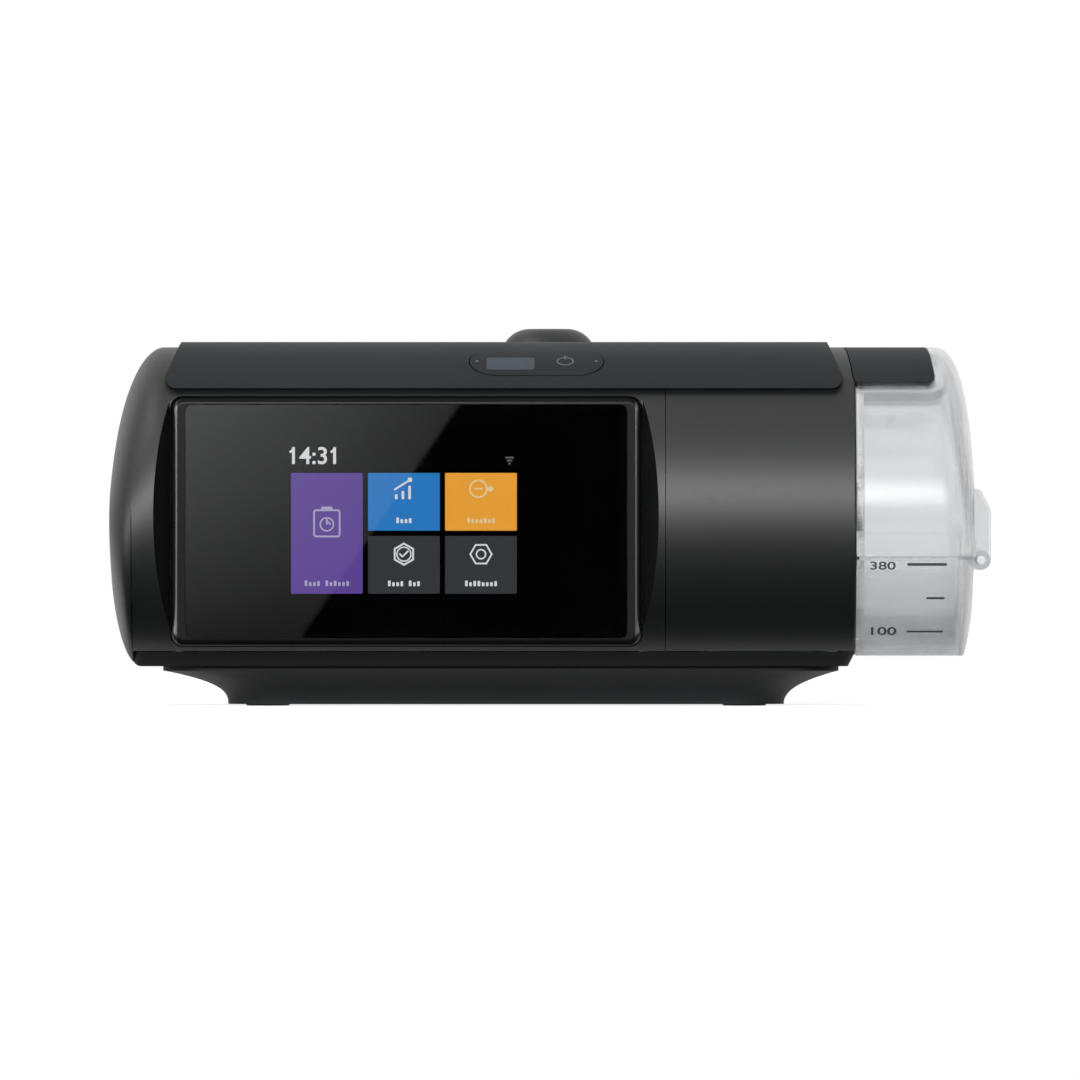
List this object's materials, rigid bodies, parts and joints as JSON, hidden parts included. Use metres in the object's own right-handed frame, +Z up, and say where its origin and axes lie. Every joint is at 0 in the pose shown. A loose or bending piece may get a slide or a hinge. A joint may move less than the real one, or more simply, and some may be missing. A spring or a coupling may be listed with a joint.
{
  "type": "cpap machine",
  "caption": "Bedside breathing-therapy machine: barrel-shaped housing, colour display, start key, clear side-loading water tank with hinged lid, swivel hose outlet at the rear.",
  "frame": {"origin": "middle of the machine's box, on the table", "axes": "+X to the right seen from the front, towards the tank; +Y to the rear, where the hose leaves; +Z up"},
  "size_m": [0.265, 0.145, 0.114],
  "materials": {
    "charcoal_housing": "fine moulded texture",
    "cover_plastic": "soft-touch",
    "bezel_plastic": "gloss",
    "screen_glass": "polished",
    "lcd_body": "satin",
    "clear_polycarbonate": "polished",
    "smoked_polycarbonate": "polished",
    "black_rubber": "matte",
    "clear_silicone": "satin",
    "stainless_steel": "brushed",
    "heater_aluminium": "satin",
    "copper_winding": "enamelled",
    "board_laminate": "solder mask",
    "white_polymer": "satin",
    "grey_foam": "open cell",
    "filter_media": "felt"
  },
  "bodies": {
    "root": {"main_shell": "charcoal_housing", "bay_shell": "charcoal_housing", "left_end_cap": "charcoal_housing", "bottom_tray": "charcoal_housing", "tray_screws": "stainless_steel", "pedestal_base": "charcoal_housing", "base_screws": "stainless_steel", "rubber_feet": "black_rubber", "top_plate": "cover_plastic", "button_board": "board_laminate", "start_switch": "bezel_plastic", "display_bezel": "bezel_plastic", "display_glass": "screen_glass", "display_panel": "lcd_body", "display_board": "board_laminate", "bay_liner": "charcoal_housing", "heater_plate": "heater_aluminium", "heater_pad": "grey_foam", "port_seals": "clear_silicone", "air_filter": "filter_media", "power_inlet": "bezel_plastic", "volute_lower": "white_polymer", "volute_upper": "white_polymer", "motor_housing": "heater_aluminium", "motor_bearings": "stainless_steel", "motor_coils": "copper_winding", "blower_mounts": "clear_silicone", "supply_duct": "white_polymer", "outlet_duct": "white_polymer", "inlet_foam": "grey_foam", "main_board": "board_laminate"},
    "start_key": {"start_button": "cover_plastic"},
    "elbow": {"outlet_elbow": "charcoal_housing", "elbow_seal": "black_rubber"},
    "rotor": {"impeller": "white_polymer", "motor_shaft": "stainless_steel"},
    "filter_door": {"filter_cover": "charcoal_housing"},
    "tank": {"tank_tub": "smoked_polycarbonate", "tank_roof": "smoked_polycarbonate", "tank_base_plate": "stainless_steel", "hinge_pin": "stainless_steel"},
    "lid": {"tank_lid": "clear_polycarbonate", "lid_gasket": "clear_silicone"},
    "latch": {"latch_pad": "cover_plastic"}
  },
  "joints": [
    {"name": "start_press", "type": "slide", "parent": "root", "child": "start_key", "axis": [0, 0.471, -0.8821], "range_m": [0, 0.0008], "stiffness_N_per_m": 500, "springref_m": -0.001},
    {"name": "elbow_swivel", "type": "hinge", "parent": "root", "child": "elbow", "pos_m": [-0.0009, 0.024, 0.084], "axis": [0, 0, 1], "range_deg": [-30, 30]},
    {"name": "impeller_spin", "type": "hinge", "parent": "root", "child": "rotor", "pos_m": [-0.072, 0.001, 0.035], "axis": [0, 0, 1], "continuous": true},
    {"name": "filter_door_hinge", "type": "hinge", "parent": "root", "child": "filter_door", "pos_m": [-0.0988, 0.0478, 0.053], "axis": [0, 0, 1], "range_deg": [0, 90]},
    {"name": "tank_slide", "type": "slide", "parent": "root", "child": "tank", "axis": [1, 0, 0], "range_m": [0, 0.1]},
    {"name": "lid_hinge", "type": "hinge", "parent": "tank", "child": "lid", "pos_m": [0.1295, 0, 0.0439], "axis": [0, 1, 0], "range_deg": [0, 95]},
    {"name": "latch_press", "type": "slide", "parent": "lid", "child": "latch", "axis": [0, 0.309, -0.9511], "range_m": [0, 0.0012], "stiffness_N_per_m": 600, "springref_m": -0.001}
  ]
}
